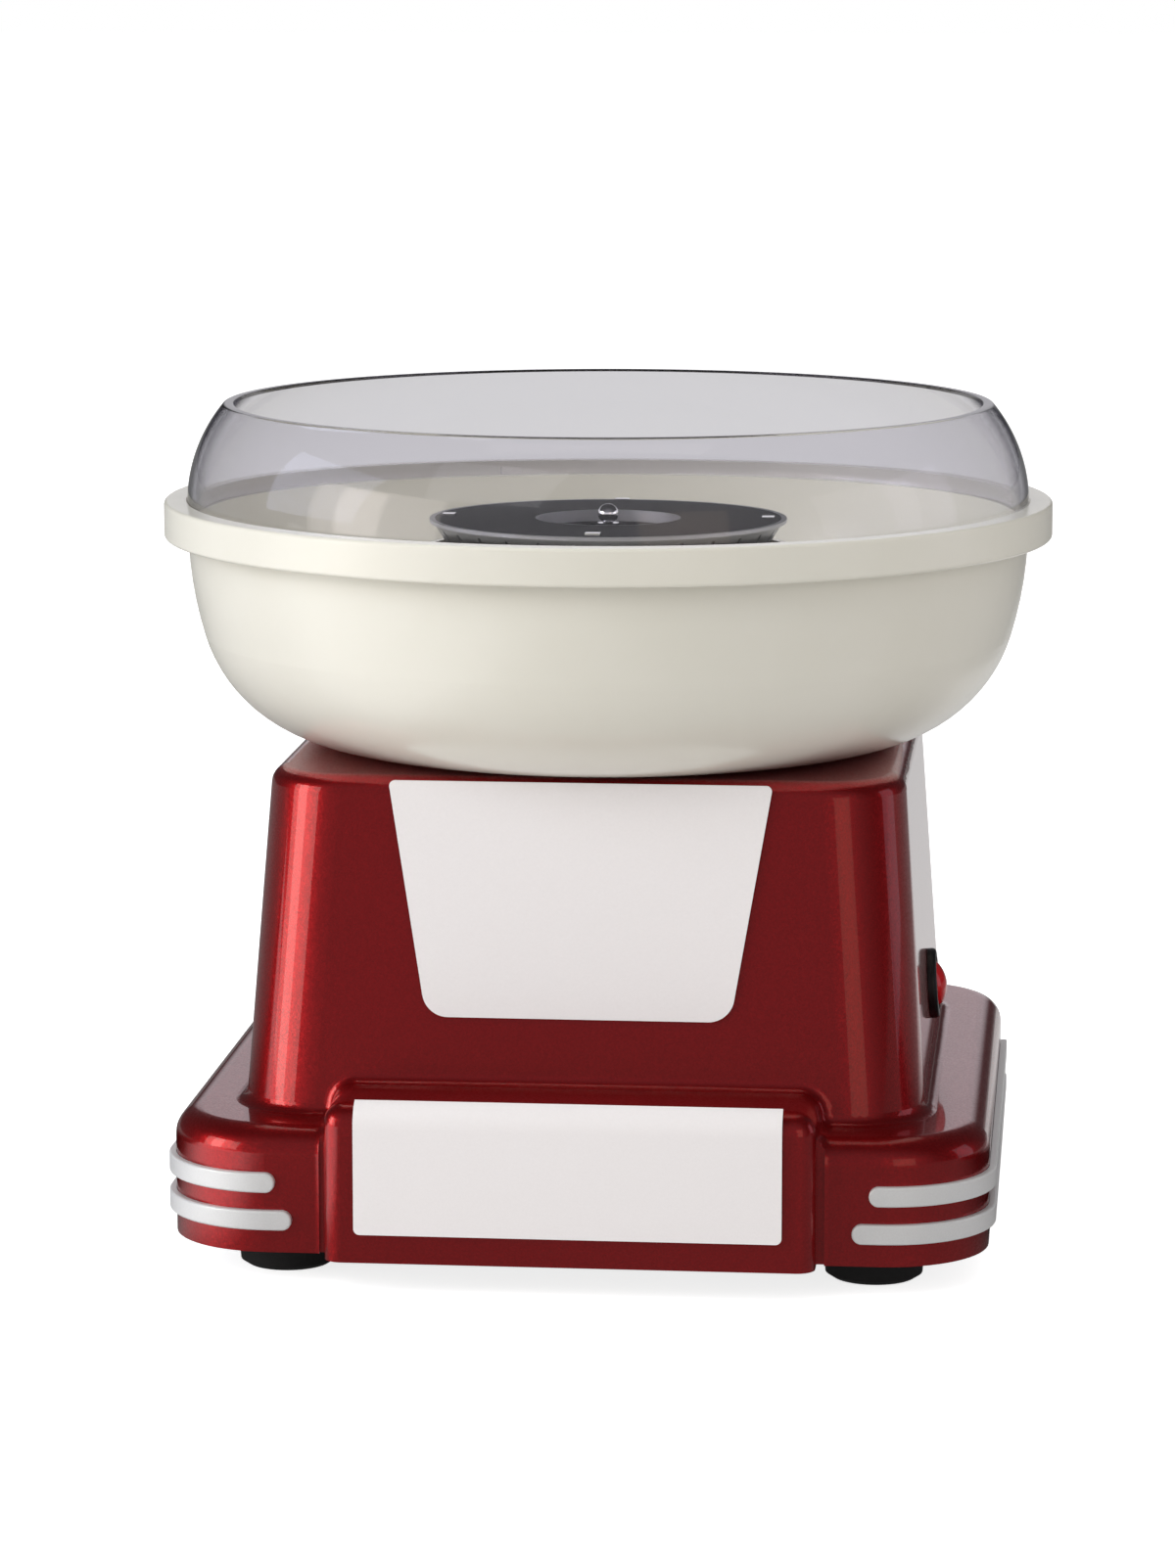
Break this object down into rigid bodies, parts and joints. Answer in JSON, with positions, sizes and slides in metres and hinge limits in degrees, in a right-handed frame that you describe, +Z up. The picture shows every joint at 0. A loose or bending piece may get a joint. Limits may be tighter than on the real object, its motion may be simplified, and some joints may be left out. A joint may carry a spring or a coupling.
{
  "type": "tabletop cotton candy machine",
  "caption": "Electric tabletop cotton candy maker: tapered housing on a plinth, round bowl with a clear guard, motor-driven spinning head over a ring heater, side rocker switch.",
  "frame": {"origin": "on the table, on the common axis of the bowl, the spinning head and the motor", "axes": "+Z up along that axis; the white front panel faces -Y; the rocker switch is on the +X side"},
  "size_m": [0.3, 0.3, 0.2757],
  "materials": {
    "red_lacquer": "candy red metallic lacquer on moulded ABS",
    "white_plastic": "gloss white",
    "cream_plastic": "gloss cream",
    "clear_plastic": "clear moulded",
    "red_plastic": "gloss red",
    "black_plastic": "fine moulded grain",
    "rubber": "matt black",
    "satin_metal": "satin silver",
    "aluminium": "turned",
    "dark_aluminium": "dark anodised",
    "chrome": "polished",
    "steel": "plain",
    "bronze": "sintered bronze and copper",
    "brass": "tinned brass",
    "ferrite": "sintered ferrite",
    "ceramic": "glazed ceramic",
    "circuit_board": "glass-fibre board"
  },
  "bodies": {
    "base": {"housing": "red_lacquer", "bottom_cover": "black_plastic", "foot_front_left": "rubber", "foot_rear_left": "rubber", "foot_front_right": "rubber", "foot_rear_right": "rubber", "cover_screws": "steel", "foot_screws": "steel", "cord_gland": "black_plastic", "front_panel": "white_plastic", "nameplate": "white_plastic", "trim_right_upper": "satin_metal", "trim_left_upper": "satin_metal", "trim_right_lower": "satin_metal", "trim_left_lower": "satin_metal", "switch_housing": "black_plastic", "switch_terminals": "brass", "heater_housing": "aluminium", "reflector_pan": "aluminium", "heating_element": "steel", "heater_bushes": "ceramic", "heater_clips": "steel", "thermal_cutout": "ceramic", "heater_housing_screws": "steel", "motor_screws": "steel", "motor_can": "steel", "motor_end_bell": "black_plastic", "motor_bearings": "bronze", "motor_magnets": "ferrite", "motor_terminals": "brass", "rectifier_board": "circuit_board", "bridge_rectifier": "black_plastic", "capacitor": "black_plastic", "terminal_block": "white_plastic"},
    "drive": {"motor_shaft": "steel", "motor_rotor": "steel", "motor_commutator": "bronze", "drive_pin": "steel"},
    "spinning_head": {"head_hub": "aluminium", "head_dish": "aluminium", "head_band": "dark_aluminium", "head_top_plate": "dark_aluminium", "head_clips": "steel", "head_knob": "chrome"},
    "bowl_body": {"bowl": "cream_plastic"},
    "guard_body": {"splash_guard": "clear_plastic"},
    "rocker": {"switch_rocker": "red_plastic"}
  },
  "joints": [
    {"name": "drive_spin", "type": "hinge", "parent": "base", "child": "drive", "pos_m": [0, 0, 0.2], "axis": [0, 0, 1], "continuous": true},
    {"name": "head_lift", "type": "slide", "parent": "drive", "child": "spinning_head", "axis": [0, 0, 1], "range_m": [0, 0.09]},
    {"name": "bowl_lift", "type": "slide", "parent": "base", "child": "bowl_body", "axis": [0, 0, 1], "range_m": [0, 0.085]},
    {"name": "guard_lift", "type": "slide", "parent": "bowl_body", "child": "guard_body", "axis": [0, 0, 1], "range_m": [0, 0.05]},
    {"name": "switch_rock", "type": "hinge", "parent": "base", "child": "rocker", "pos_m": [0.10874, 0.005, 0.07609], "axis": [0, 1, 0], "range_deg": [0, 16]}
  ]
}
